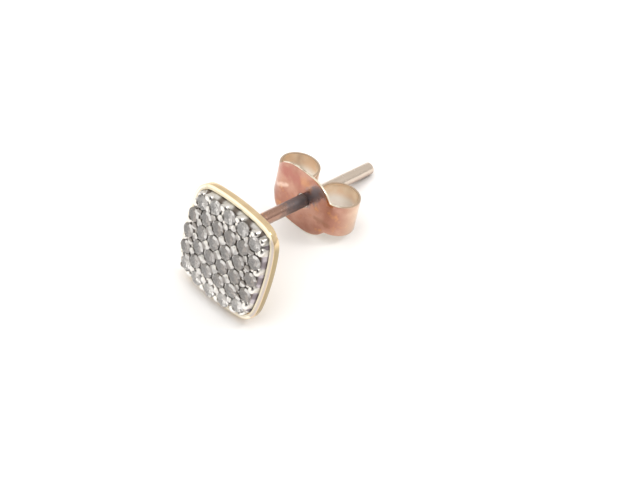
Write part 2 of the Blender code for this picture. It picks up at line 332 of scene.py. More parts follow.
def combine(target, steps):
    """Apply Boolean steps of (operation, operand) and return the result as a bmesh."""
    for operation, operand in steps:
        modifier = target.modifiers.new(operation, "BOOLEAN")
        modifier.operation = operation
        modifier.solver = "EXACT"
        modifier.use_self = True
        modifier.object = operand
    view = bpy.context.evaluated_depsgraph_get()
    bm = bmesh.new()
    bm.from_mesh(target.evaluated_get(view).to_mesh())
    for made in [target] + [operand for _, operand in steps]:
        bpy.data.objects.remove(made)
    return bm


# Places of stones and pins

def table_level(x, y):
    """The level of the dome that the stones' tables touch."""
    return TABLE_TOP - DOME_FALL * (x * x + y * y)


def block_places():
    """Rows of the square block's stones, from the top row down."""
    middle = (BLOCK_SIDE - 1) / 2
    steps = [(k - middle) * BLOCK_PITCH for k in range(BLOCK_SIDE)]
    return [[Vector((x, y)) for x in steps] for y in reversed(steps)]


def ring_side():
    """Stones of the top side of the ring, from its left corner to its right corner."""
    places = []
    for k in range(RING_STEPS + 1):
        share = 2 * k / RING_STEPS - 1
        place = Vector((share, 1 + RING_BOW * (1 - share * share))) * RING_HALF
        places.append(place * (RING_CORNER_PULL if abs(share) == 1 else 1))
    return places


def quarter_turns(place, turns):
    """The place turned clockwise about the middle of the face by quarter turns."""
    for _ in range(turns):
        place = Vector((place.y, -place.x))
    return place


def stone_places():
    """All the stones: the block's, then the ring's."""
    block = [place for row in block_places() for place in row]
    ring = [quarter_turns(place, turns) for turns in range(4) for place in ring_side()[:-1]]
    return block + ring


def equally_far(a, b, c):
    """The point equally far from three stones, where a pin has the most room."""
    p, q = b - a, c - a
    spin = 2 * p.cross(q)
    x = (q.y * p.length_squared - p.y * q.length_squared) / spin
    y = (p.x * q.length_squared - q.x * p.length_squared) / spin
    return a + Vector((x, y))


def pin_places():
    """Rows of (place, kind) for all the pins between and round the stones."""
    block = block_places()
    ring = ring_side()
    pins = []
    for row in range(BLOCK_SIDE - 1):
        for column in range(BLOCK_SIDE - 1):
            place = (block[row][column] + block[row + 1][column + 1]) / 2
            pins.append((place, "block"))
    plate_half = HEAD_HALF - RIM_WIDTH - PLATE_GAP
    for turns in range(4):
        side = []
        for k in range(BLOCK_SIDE):
            side.append((equally_far(ring[k], ring[k + 1], block[0][k]), "ring"))
        for k in range(1, BLOCK_SIDE):
            side.append((equally_far(ring[k], block[0][k - 1], block[0][k]), "ring"))
        for k in range(RING_STEPS):
            between = (ring[k] + ring[k + 1]) / 2
            angle = atan2(between.y, between.x)
            place = outline_point(angle, plate_half - PIN_RADIUS["rim"], INNER_CORNER_POWER)
            side.append((place.xy, "rim"))
        corner_half = plate_half - PIN_RADIUS["corner"] * CORNER_PIN_PULL
        corner = outline_point(pi / 4, corner_half, INNER_CORNER_POWER)
        side.append((corner.xy, "corner"))
        pins += [(quarter_turns(place, turns), kind) for place, kind in side]
    return pins


def stone_placing(place):
    """Where a stone's table centre goes, tilted with the dome."""
    slope = Vector((2 * DOME_FALL * place.x, 2 * DOME_FALL * place.y, 1)).normalized()
    turn = Vector((0, 0, 1)).rotation_difference(slope).to_matrix().to_4x4()
    return Matrix.Translation((place.x, place.y, table_level(place.x, place.y))) @ turn


# Materials

def new_finish(name):
    """A new material, its node tree and its shader."""
    made = bpy.data.materials.new(name)
    made.use_nodes = True
    return made, made.node_tree, made.node_tree.nodes["Principled BSDF"]


def feed(tree, node, inputs):
    """Put values or other nodes' outputs on a node's inputs."""
    for key, value in inputs.items():
        if isinstance(value, bpy.types.NodeSocket):
            tree.links.new(value, node.inputs[key])
        else:
            node.inputs[key].default_value = value


def add(tree, kind, inputs, **settings):
    """Add a node, with its settings and its inputs."""
    node = tree.nodes.new(kind)
    for key, value in settings.items():
        setattr(node, key, value)
    feed(tree, node, inputs)
    return node


def place_in(tree, placing):
    """The object's own place, measured in millimetres in the head's, the post's or the clutch's frame."""
    where = add(tree, "ShaderNodeTexCoord", {}).outputs["Object"]
    place, turn, scale = placing.decompose()
    inputs = {"Vector": where, "Location": place, "Rotation": turn.to_euler(), "Scale": scale}
    return add(tree, "ShaderNodeMapping", inputs, vector_type="TEXTURE").outputs[0]


def parts_of(tree, where):
    """The X, Y and Z of a place."""
    return add(tree, "ShaderNodeSeparateXYZ", {"Vector": where}).outputs


def cloudy(tree, where, scale, detail=3.0, roughness=0.5):
    """Soft noise from 0 to 1, mostly near a half, with about scale clouds a millimetre."""
    inputs = {"Vector": where, "Scale": scale, "Detail": detail, "Roughness": roughness}
    return add(tree, "ShaderNodeTexNoise", inputs).outputs[0]


def step(tree, value, low, high, start=0.0, end=1.0):
    """A smooth step from start to end as the value runs from low to high."""
    inputs = {"Value": value, "From Min": low, "From Max": high, "To Min": start, "To Max": end}
    return add(tree, "ShaderNodeMapRange", inputs, interpolation_type="SMOOTHSTEP").outputs[0]


def calculate(tree, operation, a, b=0.0):
    return add(tree, "ShaderNodeMath", {0: a, 1: b}, operation=operation).outputs[0]


def product(tree, a, b):
    return calculate(tree, "MULTIPLY", a, b)


def blend_colours(tree, share, a, b):
    """Colour a where the share is 0 and colour b where it is 1."""
    return add(tree, "ShaderNodeMix", {0: share, 6: a, 7: b}, data_type="RGBA").outputs[2]


def colour(red, green, blue):
    return (red, green, blue, 1.0)


def bump(tree, shader, height, depth):
    """Raise the surface by the height, which is a depth in millimetres where it is 1."""
    relief = add(tree, "ShaderNodeBump", {"Height": height, "Distance": depth * MM, "Strength": 1.0})
    feed(tree, shader, {"Normal": relief.outputs[0]})


def yellow_gold_finish():
    """Polished gold: tan on the wall; the rim's face is cream from a painted highlight, paler still on the
    left and bottom sides and darker along its inner edge; painted reflections turn the face grey and the wall
    olive on the right-hand side.
    """
    made, tree, shader = new_finish("polished_yellow_gold")
    where = place_in(tree, HEAD)
    across, up, out = parts_of(tree, where)
    worn = step(tree, cloudy(tree, where, 0.9, 2), 0.25, 0.75)
    wall = blend_colours(tree, worn, colour(0.92, 0.73, 0.46), colour(0.80, 0.60, 0.36))
    # Painted reflection: the right-hand wall turns olive
    olive_reflection_share = product(tree, step(tree, across, 2.70, 2.86), step(tree, out, -0.09, -0.05, 1.0, 0.0))
    wall = blend_colours(tree, olive_reflection_share, wall, colour(0.42, 0.33, 0.19))
    # Painted reflection: the rim's face is grey on the right-hand side, and a painted highlight makes it
    # cream elsewhere
    right_side = step(tree, across, 2.35, 2.55)
    face = blend_colours(tree, right_side, colour(0.98, 0.91, 0.70), colour(0.58, 0.51, 0.47))
    # Painted highlight: the face is paler still on the left and bottom sides
    left_or_low = step(tree, calculate(tree, "MINIMUM", across, up), -2.45, -2.25, 1.0, 0.0)
    face = blend_colours(tree, left_or_low, face, colour(0.99, 0.94, 0.80))
    # The face is darker along its inner edge
    inner_part = step(tree, out, -0.028, -0.016)
    face = blend_colours(tree, inner_part, face, colour(0.70, 0.63, 0.49))
    base = blend_colours(tree, step(tree, out, -0.06, -0.04), wall, face)
    rough = step(tree, cloudy(tree, where, 3, 4), 0.35, 0.7, 0.10, 0.22)
    feed(tree, shader, {"Base Color": base, "Metallic": 1.0, "Roughness": rough})
    bump(tree, shader, cloudy(tree, where, 2.2, 2), 0.004)
    return made


def post_finish():
    """Gold wire that is brown by the head, black where the clutch rubs on it, and pale towards its tip, with
    painted shade on its underside.
    """
    made, tree, shader = new_finish("tarnished_post_gold")
    where = place_in(tree, POST)
    _, up, along = parts_of(tree, where)
    grain = cloudy(tree, where, 4.5, 5, 0.6)
    shift = product(tree, calculate(tree, "SUBTRACT", grain, 0.5), 1.6)
    ragged = calculate(tree, "ADD", along, shift)
    rust = step(tree, cloudy(tree, where, 2.6, 4, 0.6), 0.55, 0.68)
    brown = blend_colours(tree, rust, colour(0.42, 0.255, 0.195), colour(0.66, 0.33, 0.15))
    base = blend_colours(tree, step(tree, ragged, 5.6, 7.0), brown, colour(0.70, 0.60, 0.51))
    # Painted shade: the underside is darker
    under = step(tree, calculate(tree, "ADD", up, product(tree, shift, 0.12)), -0.12, 0.10)
    base = blend_colours(tree, product(tree, under, 0.8), base, colour(0.40, 0.29, 0.23))
    black = product(tree, step(tree, ragged, 3.3, 4.6), step(tree, ragged, 5.3, 6.0, 1.0, 0.0))
    worn_through = step(tree, cloudy(tree, where, 8, 4, 0.6), 0.58, 0.74, 1.0, 0.6)
    black = product(tree, black, worn_through)
    base = blend_colours(tree, black, base, colour(0.17, 0.14, 0.14))
    metal = calculate(tree, "SUBTRACT", 1.0, product(tree, black, 0.6))
    rough = calculate(tree, "ADD", step(tree, grain, 0.35, 0.7, 0.18, 0.28), product(tree, black, 0.22))
    feed(tree, shader, {"Base Color": base, "Metallic": metal, "Roughness": rough})
    bump(tree, shader, grain, 0.006)
    return made


def near_line(tree, where, start, end, width, strength):
    """The strength on a wavering line between two places of the plate; at the width beside it, it is 0."""
    start, end = Vector(start), Vector(end)
    line = end - start
    middle = (start + end) / 2
    inputs = {"Vector": where, "Location": (*middle, 0), "Rotation": (0, 0, atan2(line.y, line.x))}
    local = add(tree, "ShaderNodeMapping", inputs, vector_type="TEXTURE").outputs[0]
    along, aside, _ = parts_of(tree, local)
    past = calculate(tree, "SUBTRACT", calculate(tree, "ABSOLUTE", along), line.length / 2)
    past = calculate(tree, "MAXIMUM", past, 0.0)
    waver = product(tree, calculate(tree, "SUBTRACT", cloudy(tree, where, 2.2, 3), 0.5), 2 * width)
    beside = calculate(tree, "ADD", aside, waver)
    square = calculate(tree, "ADD", product(tree, past, past), product(tree, beside, beside))
    return step(tree, calculate(tree, "SQRT", square), 0.0, width, strength, 0.0)


def pink_gold_finish():
    """The clutch's outside: pink-brown on the plate and tan round the ears.

    The plate has orange smudges, a crease at its left with a painted highlight along it, a small hollow at
    its right with painted shade in it, and painted shade above the hole.
    """
    made, tree, shader = new_finish("polished_pink_gold")
    where = place_in(tree, CLUTCH)
    from_front = parts_of(tree, where)[2]
    cloud = step(tree, cloudy(tree, where, 0.8, 3), 0.38, 0.62)
    plate = blend_colours(tree, cloud, colour(0.55, 0.31, 0.235), colour(0.44, 0.21, 0.155))
    smudge = step(tree, cloudy(tree, where, 1.5, 4, 0.6), 0.56, 0.70)
    plate = blend_colours(tree, smudge, plate, colour(0.60, 0.30, 0.15))
    red = near_line(tree, where, (-1.6, -0.95), (-0.5, -1.0), 0.6, 1.0)
    plate = blend_colours(tree, red, plate, colour(0.46, 0.20, 0.16))
    orange = near_line(tree, where, (-0.2, -1.2), (0.45, -1.0), 0.4, 0.55)
    plate = blend_colours(tree, orange, plate, colour(0.66, 0.34, 0.17))
    # Painted highlight along the crease at the plate's left, which is also a bump
    fold_and_highlight = near_line(tree, where, (-1.94, 0.18), (-1.2, -0.23), 0.20, 0.65)
    plate = blend_colours(tree, fold_and_highlight, plate, colour(0.90, 0.68, 0.56))
    # Painted shade in the hollow at the plate's right, which is also a bump
    dent_and_shade = near_line(tree, where, (1.03, 0.45), (1.85, 0.40), 0.24, 0.55)
    plate = blend_colours(tree, dent_and_shade, plate, colour(0.30, 0.145, 0.09))
    # Painted shade above the hole, where the plate is also rougher
    shade_by_hole = near_line(tree, where, (0.3, -0.25), (1.0, -1.25), 0.65, 1.0)
    plate = blend_colours(tree, shade_by_hole, plate, colour(0.34, 0.30, 0.33))
    ears = blend_colours(tree, cloud, colour(0.80, 0.60, 0.45), colour(0.68, 0.48, 0.36))
    base = blend_colours(tree, step(tree, from_front, 0.1, 1.3), plate, ears)
    rough = step(tree, cloudy(tree, where, 3, 4), 0.35, 0.7, 0.12, 0.24)
    rough = calculate(tree, "ADD", rough, product(tree, shade_by_hole, 0.25))
    feed(tree, shader, {"Base Color": base, "Metallic": 1.0, "Roughness": rough})
    relief = calculate(tree, "ADD", cloudy(tree, where, 1.2, 2), calculate(tree, "SUBTRACT", fold_and_highlight, dent_and_shade))
    bump(tree, shader, relief, 0.012)
    return made


def ear_inside_finish():
    """The tan inside of the rolled ears, which no polishing wheel has reached, with a painted reflection of
    the pale table making the lower part near white.
    """
    made, tree, shader = new_finish("brushed_ear_inside")
    where = place_in(tree, CLUTCH)
    up = parts_of(tree, where)[1]
    cloud = step(tree, cloudy(tree, where, 1.2, 3), 0.35, 0.65)
    tan_gold = blend_colours(tree, cloud, colour(1.0, 0.84, 0.66), colour(0.95, 0.72, 0.52))
    # Painted reflection: the lower part is near white
    base = blend_colours(tree, step(tree, up, -0.5, 0.1), tan_gold, colour(1.0, 0.95, 0.88))
    rough = step(tree, cloud, 0.0, 1.0, 0.30, 0.38)
    feed(tree, shader, {"Base Color": base, "Metallic": 0.75, "Roughness": rough})
    bump(tree, shader, cloudy(tree, where, 2.5, 3), 0.008)
    return made


def cut_edge_finish():
    """The sheet's cut edges, pale near the clutch's front, partly from rubbing and partly as a painted
    highlight.
    """
    made, tree, shader = new_finish("bright_cut_edge")
    where = place_in(tree, CLUTCH)
    fading = product(tree, parts_of(tree, where)[2], 0.6)
    polish_and_highlight = step(tree, calculate(tree, "SUBTRACT", cloudy(tree, where, 1.4, 3), fading), 0.30, 0.46)
    # Partly rubbed bright, partly a painted highlight along the edges
    base = blend_colours(tree, polish_and_highlight, colour(0.60, 0.46, 0.34), colour(0.99, 0.93, 0.78))
    feed(tree, shader, {"Base Color": base, "Metallic": 1.0, "Roughness": 0.30})
    return made


def depth_below_tables(tree, where):
    """How far a place lies below the dome that the stones' tables touch."""
    across, up, out = parts_of(tree, where)
    square = calculate(tree, "ADD", product(tree, across, across), product(tree, up, up))
    dome = calculate(tree, "SUBTRACT", TABLE_TOP, product(tree, square, DOME_FALL))
    return calculate(tree, "SUBTRACT", dome, out)


def ledge_colour(tree, where):
    """The ledge along the rim: a row of painted highlights and painted shade in light and dark patches, with
    the most contrast on the top side.
    """
    across, up, _ = parts_of(tree, where)
    along = calculate(tree, "MINIMUM", calculate(tree, "ABSOLUTE", across), calculate(tree, "ABSOLUTE", up))
    along = calculate(tree, "SUBTRACT", along, LEDGE_PATCH_START)
    wave = calculate(tree, "COSINE", product(tree, along, 2 * pi / LEDGE_PATCH_PITCH))
    # Painted highlights in the light patches and painted shade in the dark ones
    patches = step(tree, calculate(tree, "ADD", wave, cloudy(tree, where, 2.4, 3)), -0.35, 0.75)
    top_side = step(tree, up, 2.2, 2.35)
    dark = blend_colours(tree, top_side, colour(0.30, 0.26, 0.28), colour(0.26, 0.22, 0.19))
    light = blend_colours(tree, top_side, colour(0.62, 0.57, 0.60), colour(0.95, 0.93, 0.89))
    return blend_colours(tree, patches, dark, light)


def worn_pin_light_and_shade(tree, where):
    """A worn pin in the block: a painted highlight towards the stone at its upper right, and painted shade on
    its other side.
    """
    lean = cloudy(tree, where, 2.6, 3)
    for part, share in zip(parts_of(tree, where), PAINTED_LIGHT_SIDE):
        steps = calculate(tree, "DIVIDE", part, BLOCK_PITCH)
        offset = calculate(tree, "SUBTRACT", steps, calculate(tree, "ROUND", steps))
        lean = calculate(tree, "ADD", lean, product(tree, offset, WORN_LEAN * share))
    cloud = step(tree, cloudy(tree, where, 4.5, 2), 0.36, 0.62)
    # Painted highlight on one side of the pin, painted shade on the other
    bright = blend_colours(tree, cloud, colour(0.45, 0.44, 0.43), colour(0.70, 0.685, 0.66))
    return blend_colours(tree, step(tree, lean, 0.34, 0.50), colour(0.30, 0.28, 0.265), bright)


def shade_and_grime_share(tree, where, depth, clean, shade_side):
    """Where the metal turns dark: painted shade with some soiling deep down, painted shade on each stone's
    shade side, and soiling in speckles, but not on pins.
    """
    # Painted shade on each stone's shade side, less in the clean patches
    shaded = product(tree, step(tree, shade_side, -0.1, 0.5), step(tree, depth, 0.03, 0.07))
    shaded = product(tree, shaded, step(tree, clean, 0.0, 1.0, 1.0, 0.6))
    speckled = step(tree, cloudy(tree, where, 3.2, 4, 0.6), 0.52, 0.66, 0.0, 0.7)
    # Painted shade with some soiling deep down between the stones
    shade_and_grime = calculate(tree, "MAXIMUM", shaded, step(tree, depth, 0.115, 0.14))
    shade_and_grime = calculate(tree, "MAXIMUM", shade_and_grime, speckled)
    return product(tree, shade_and_grime, step(tree, shade_side, ON_WORN_PIN, -1.0))


def rhodium_finish():
    """White plate: bright pins, with painted highlight and shade on the block's worn pins; gaps between the
    stones dark from painted shade and some soiling; painted highlights on the outer rows; and a rougher ledge
    along the rim with patches of painted highlight and shade.
    """
    made, tree, shader = new_finish("white_rhodium_plate")
    where = place_in(tree, HEAD)
    _, up, out = parts_of(tree, where)
    depth = depth_below_tables(tree, where)
    clean = step(tree, cloudy(tree, where, 1.9, 3, 0.6), 0.42, 0.56)
    shade_side = add(tree, "ShaderNodeAttribute", {}, attribute_name="shade_side").outputs["Fac"]
    warm = step(tree, cloudy(tree, where, 1.0, 3), 0.46, 0.62)
    # Dark colour for painted shade and soiling
    shade_and_dirt = blend_colours(tree, warm, colour(0.12, 0.105, 0.10), colour(0.20, 0.145, 0.11))
    # On the ledge, patches of painted highlight and shade take its place
    shade_and_dirt = blend_colours(tree, step(tree, out, 0.16, 0.26, 1.0, 0.0), shade_and_dirt, ledge_colour(tree, where))
    metal = blend_colours(tree, clean, colour(0.50, 0.48, 0.46), colour(0.68, 0.655, 0.635))
    # Worn pins carry painted highlight and shade
    metal = blend_colours(tree, step(tree, shade_side, ON_WORN_PIN, -1.0), worn_pin_light_and_shade(tree, where), metal)
    metal = blend_colours(tree, step(tree, shade_side, ON_RIM_PIN, ON_WORN_PIN), colour(0.84, 0.81, 0.77), metal)
    # Painted highlight: the bottom and top rows are paler
    bottom_row = step(tree, up, -2.0, -1.2, 0.7, 0.0)
    top_row = step(tree, up, 1.4, 2.1, 0.0, 0.5)
    outer_rows = calculate(tree, "MAXIMUM", bottom_row, top_row)
    metal = blend_colours(tree, outer_rows, metal, colour(0.93, 0.91, 0.88))
    base = blend_colours(tree, shade_and_grime_share(tree, where, depth, clean, shade_side), metal, shade_and_dirt)
    rough = step(tree, depth, 0.02, 0.25, 0.14, 0.45)
    feed(tree, shader, {"Base Color": base, "Metallic": 1.0, "Roughness": rough})
    bump(tree, shader, cloudy(tree, where, 5, 3), 0.006)
    return made


def diamond_finish():
    """Slightly clouded grey diamond with polished facets, with painted highlights making the outer rows paler
    and the bottom row palest.
    """
    made, tree, shader = new_finish("cut_diamond")
    where = place_in(tree, HEAD)
    up = parts_of(tree, where)[1]
    cloud = step(tree, cloudy(tree, where, 0.75, 2), 0.38, 0.60)
    base = blend_colours(tree, cloud, colour(0.36, 0.325, 0.30), colour(0.26, 0.21, 0.17))
    # Painted highlight: the outer rows are paler and the bottom row palest
    outer_rows = calculate(tree, "MAXIMUM", step(tree, up, -2.1, -1.3, 1.0, 0.0), step(tree, up, 1.5, 2.1))
    base = blend_colours(tree, product(tree, outer_rows, 0.7), base, colour(0.80, 0.78, 0.75))
    bottom_row = step(tree, up, -2.0, -1.1, 1.0, 0.0)
    base = blend_colours(tree, bottom_row, base, colour(0.99, 0.95, 0.91))
    inputs = {"Base Color": base, "Roughness": 0.03, "IOR": DIAMOND_IOR, "Transmission Weight": 0.84}
    feed(tree, shader, inputs)
    return made


def lit_facet_finish():
    """The crown facets painted as glints, short pale streaks that are brighter on some stones than on others.
    """
    made, tree, shader = new_finish("lit_diamond_facet")
    glow = step(tree, cloudy(tree, place_in(tree, HEAD), 1.7, 2), 0.42, 0.60)
    base = blend_colours(tree, glow, colour(0.42, 0.395, 0.375), colour(0.86, 0.84, 0.82))
    inputs = {"Base Color": base, "Roughness": 0.08, "IOR": DIAMOND_IOR, "Transmission Weight": 0.3}
    feed(tree, shader, inputs)
    return made


# Pieces

def make_tray(finish):
    """The tray's skin, from the middle of its back round the wall and the rim to the recess's floor."""
    bm = bmesh.new()
    inner = HEAD_HALF - RIM_WIDTH
    rows = [(HEAD_HALF - BACK_ROUND, CORNER_POWER, -TRAY_DEPTH)]
    for turn in (30, 60, 90):
        across = BACK_ROUND * (1 - sin(radians(turn)))
        up = BACK_ROUND * (1 - cos(radians(turn)))
        rows.append((HEAD_HALF - across, CORNER_POWER, -TRAY_DEPTH + up))
    for turn in (0, 30, 60, 90):
        across = FRONT_ROUND * (1 - cos(radians(turn)))
        up = FRONT_ROUND * (1 - sin(radians(turn)))
        rows.append((HEAD_HALF - across, CORNER_POWER, -RIM_FALL - up))
    rows.append((inner + FRONT_ROUND, (CORNER_POWER + INNER_CORNER_POWER) / 2, 0.0))
    rows.append((inner + FRONT_ROUND * LIP_ROUND, INNER_CORNER_POWER, -FRONT_ROUND * LIP_ROUND))
    rows.append((inner, INNER_CORNER_POWER, -FRONT_ROUND))
    rows.append((inner, INNER_CORNER_POWER, -RECESS_DEPTH))
    skin(bm, [outline(*row) for row in rows])
    tray = finished("gold_tray", bm, HEAD, "stud", [finish])
    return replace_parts(tray, "gold_tray_with_post")


def make_post(finish):
    """The post's skin, from its foot in the tray round the solder's collar to its rounded tip."""
    bm = bmesh.new()
    rows = [(SOLDER_RADIUS, -TRAY_DEPTH + RECESS_DEPTH + HAIR / 2), (SOLDER_RADIUS, SOLDER_FOOT)]
    for k in range(1, SOLDER_STEPS + 1):
        turn = k / SOLDER_STEPS * pi / 2
        radius = SOLDER_RADIUS + (POST_RADIUS - SOLDER_RADIUS) * sin(turn)
        rows.append((radius, SOLDER_HEIGHT * (1 - cos(turn)) + SOLDER_FOOT))
    straight = POST_LENGTH - TIP_ROUND - SOLDER_HEIGHT
    for k in range(1, POST_STEPS + 1):
        rows.append((POST_RADIUS, SOLDER_HEIGHT + straight * k / POST_STEPS))
    for turn in (20, 40, 60, 80):
        radius = POST_RADIUS - TIP_ROUND * (1 - cos(radians(turn)))
        rows.append((radius, POST_LENGTH - TIP_ROUND * (1 - sin(radians(turn)))))
    skin(bm, [circle(radius, level, POST_SIDES) for radius, level in rows])
    post = finished("ear_post", bm, POST, "stud", [finish])
    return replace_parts(post, "gold_tray_with_post")


def pin_rings(place, kind):
    """The rings of a round pin; a pin along the rim is drawn out along it."""
    radius = PIN_RADIUS[kind]
    fall = RIM_PIN_ROUND if kind in BESIDE_RIM else WORN_PIN_ROUND
    rows = [(radius, LEDGE_LEVEL - HAIR)] + rounded_top(radius, table_level(place.x, place.y), fall)
    placing = Matrix.Translation((place.x, place.y, 0))
    if kind == "rim":
        along = Vector((1, 0, 0)) if abs(place.y) > abs(place.x) else Vector((0, 1, 0))
        placing = placing @ Matrix.Scale(RIM_PIN_STRETCH, 4, along)
    return [circle(r, level, PIN_SIDES, placing) for r, level in rows]


def seat_rings(place):
    """The cutter of a stone's seat: a cone under a round well."""
    radius = STONE_RADIUS + SEAT_GAP
    girdle_low = -CROWN_HEIGHT - GIRDLE_HEIGHT
    rows = [
        (SEAT_TIP_RADIUS, girdle_low - PAVILION_DEPTH - 1.5 * SEAT_GAP),
        (radius, girdle_low - SEAT_GAP / 2),
        (radius, HAIR),
    ]
    placing = stone_placing(place)
    return [circle(r, level, SEAT_SIDES, placing) for r, level in rows]


def bevel_rings(place):
    """The cutter of the bevel round a stone's seat."""
    radius = STONE_RADIUS + SEAT_GAP
    wide = radius + BEVEL_WIDTH
    rise = BEVEL_WIDTH * tan(BEVEL_SLOPE)
    rows = [(radius, BEVEL_LOW - HAIR / 4), (radius, BEVEL_LOW), (wide, BEVEL_LOW + rise), (wide, HAIR)]
    placing = stone_placing(place)
    return [circle(r, level, SEAT_SIDES, placing) for r, level in rows]


def mark_shade_side(bm):
    """Note on each face where it lies round its stone, from -1 on the side kept bright to 1 on the side where
    shade is painted.

    The pins' faces are marked ON_WORN_PIN or ON_RIM_PIN, because no painted shade or soiling goes on them.
    """
    layer = bm.faces.layers.float.new("shade_side")
    stones = stone_places()
    pins = pin_places()
    for face in bm.faces:
        middle = face.calc_center_median().xy
        stone = min(stones, key=lambda place: (place - middle).length)
        face[layer] = (middle - stone).normalized().dot(Vector(PAINTED_LIGHT_SIDE))
        for place, kind in pins:
            reach = PIN_RADIUS[kind] * (RIM_PIN_STRETCH if kind in BESIDE_RIM else 1)
            if (place - middle).length < reach:
                face[layer] = ON_RIM_PIN if kind in BESIDE_RIM else ON_WORN_PIN


def make_pave_plate(finish):
    """The domed plate with its pins, cut out round every stone."""
    half = HEAD_HALF - RIM_WIDTH - PLATE_GAP
    rings = [outline(half, INNER_CORNER_POWER, level) for level in (-RECESS_DEPTH + PLATE_GAP, LEDGE_LEVEL)]
    rings.append(outline(half * SHOULDER_SCALE, INNER_CORNER_POWER, SHOULDER_LEVEL))
    side = half * (1 + SIDE_BOW)
    for k in range(1, DOME_STEPS):
        scale = DOME_SCALE * (1 - k / DOME_STEPS)
        level = table_level(side * scale, 0) - METAL_BELOW_TABLE
        rings.append(outline(half * scale, INNER_CORNER_POWER, level))
    plate = shaped("plate", [rings])
    pins = shaped("pins", [pin_rings(place, kind) for place, kind in pin_places()])
    seats = shaped("seats", [seat_rings(place) for place in stone_places()])
    bevels = shaped("bevels", [bevel_rings(place) for place in stone_places()])
    bm = combine(plate, [("DIFFERENCE", bevels), ("UNION", pins), ("DIFFERENCE", seats)])
    mark_shade_side(bm)
    piece = finished("pave_field", bm, HEAD, "stud", [finish], sharp=40)
    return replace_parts(piece, "pave_plate")


def grind(bm, azimuth, slope, radius, level):
    """Cut one flat facet whose plane passes a point at the radius and level, on the azimuth."""
    normal = Vector((sin(slope) * cos(azimuth), sin(slope) * sin(azimuth), cos(slope)))
    place = Vector((radius * cos(azimuth), radius * sin(azimuth), level))
    everything = bm.verts[:] + bm.edges[:] + bm.faces[:]
    cut = bmesh.ops.bisect_plane(
        bm, geom=everything, dist=1e-5, plane_co=place, plane_no=normal, clear_outer=True)
    rim = [item for item in cut["geom_cut"] if isinstance(item, bmesh.types.BMEdge)]
    bmesh.ops.edgeloop_fill(bm, edges=rim)


def cut_stone():
    """A round stone ground from a disc, with its table at level 0."""
    bm = bmesh.new()
    depth = CROWN_HEIGHT + GIRDLE_HEIGHT + PAVILION_DEPTH
    bmesh.ops.create_cone(
        bm, cap_ends=True, segments=GIRDLE_SIDES, radius1=STONE_RADIUS, radius2=STONE_RADIUS, depth=depth)
    bmesh.ops.translate(bm, verts=bm.verts, vec=(0, 0, -depth / 2))
    girdle_low = -CROWN_HEIGHT - GIRDLE_HEIGHT
    for k in range(FACETS_ROUND):
        azimuth = 2 * pi * k / FACETS_ROUND
        grind(bm, azimuth, CROWN_SLOPE, STONE_RADIUS, -CROWN_HEIGHT)
        grind(bm, azimuth, pi - PAVILION_SLOPE, STONE_RADIUS, girdle_low)
    return bm


def pick_lit_facets(bm, placing):
    """Give finish 1, the painted glint, to the crown facets that face the painted light side."""
    bm.normal_update()
    for face in bm.faces:
        way = (placing.to_3x3() @ face.normal).to_2d().normalized()
        on_crown = cos(2 * CROWN_SLOPE) < face.normal.z < cos(CROWN_SLOPE / 2)
        if on_crown and way.dot(Vector(PAINTED_LIGHT_SIDE)) > LIT_FACET_TURN:
            face.material_index = 1


def make_stones(finishes):
    """All the stones, each turned a little further than the one before."""
    for number, place in enumerate(stone_places(), start=1):
        bm = cut_stone()
        placing = stone_placing(place) @ Matrix.Rotation(STONE_TURN * number, 4, "Z")
        pick_lit_facets(bm, placing)
        stone = finished(f"cut_stone_{number:02d}", bm, HEAD @ placing, "stud", finishes, sharp=0)
        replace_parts(stone, f"diamond_{number:02d}")


def ear_centre():
    """How far each ear's middle stands beside the post's axis."""
    return POST_RADIUS + EAR_CLEARANCE + EAR_HALF_WIDTH


def strip_place(along, side):
    """A point of the clutch's strip: along runs from the middle of the plate into an ear, side is -1 to 1."""
    centre = ear_centre()
    across = EAR_HALF_WIDTH - SHEET / 2
    deep = EAR_HALF_DEPTH - SHEET / 2
    way = 1 if along >= 0 else -1
    turn = max(abs(along) - centre, 0) * 2 / (across + deep)
    inside = 1 - abs((along - DISC_SHIFT) / DISC_HALF_WIDTH) ** DISC_POWER
    disc = DISC_HALF_HEIGHT * max(inside, 0) ** (1 / DISC_POWER)
    strip = STRIP_HALF + (STRIP_END_HALF - STRIP_HALF) * turn / EAR_TURN
    half = (disc**NECK_POWER + strip**NECK_POWER) ** (1 / NECK_POWER)
    x = min(abs(along), centre) + across * sin(turn)
    z = deep * (1 - cos(turn)) + SHEET / 2
    return Vector((way * x, side * half, z))


def assign_clutch_finishes(bm):
    """Finish 0 is the outside, 1 the inside of the ears and 2 the cut edges."""
    bm.normal_update()
    for face in bm.faces:
        middle = face.calc_center_median()
        side = 1 if middle.x > 0 else -1
        inwards = Vector((side * ear_centre() - middle.x, 0, EAR_HALF_DEPTH - middle.z))
        if abs(face.normal.y) > CUT_EDGE_SLANT:
            face.material_index = 2
        elif face.normal.dot(inwards) > 0 and abs(middle.x) > POST_RADIUS + HOLE_CLEARANCE:
            face.material_index = 1


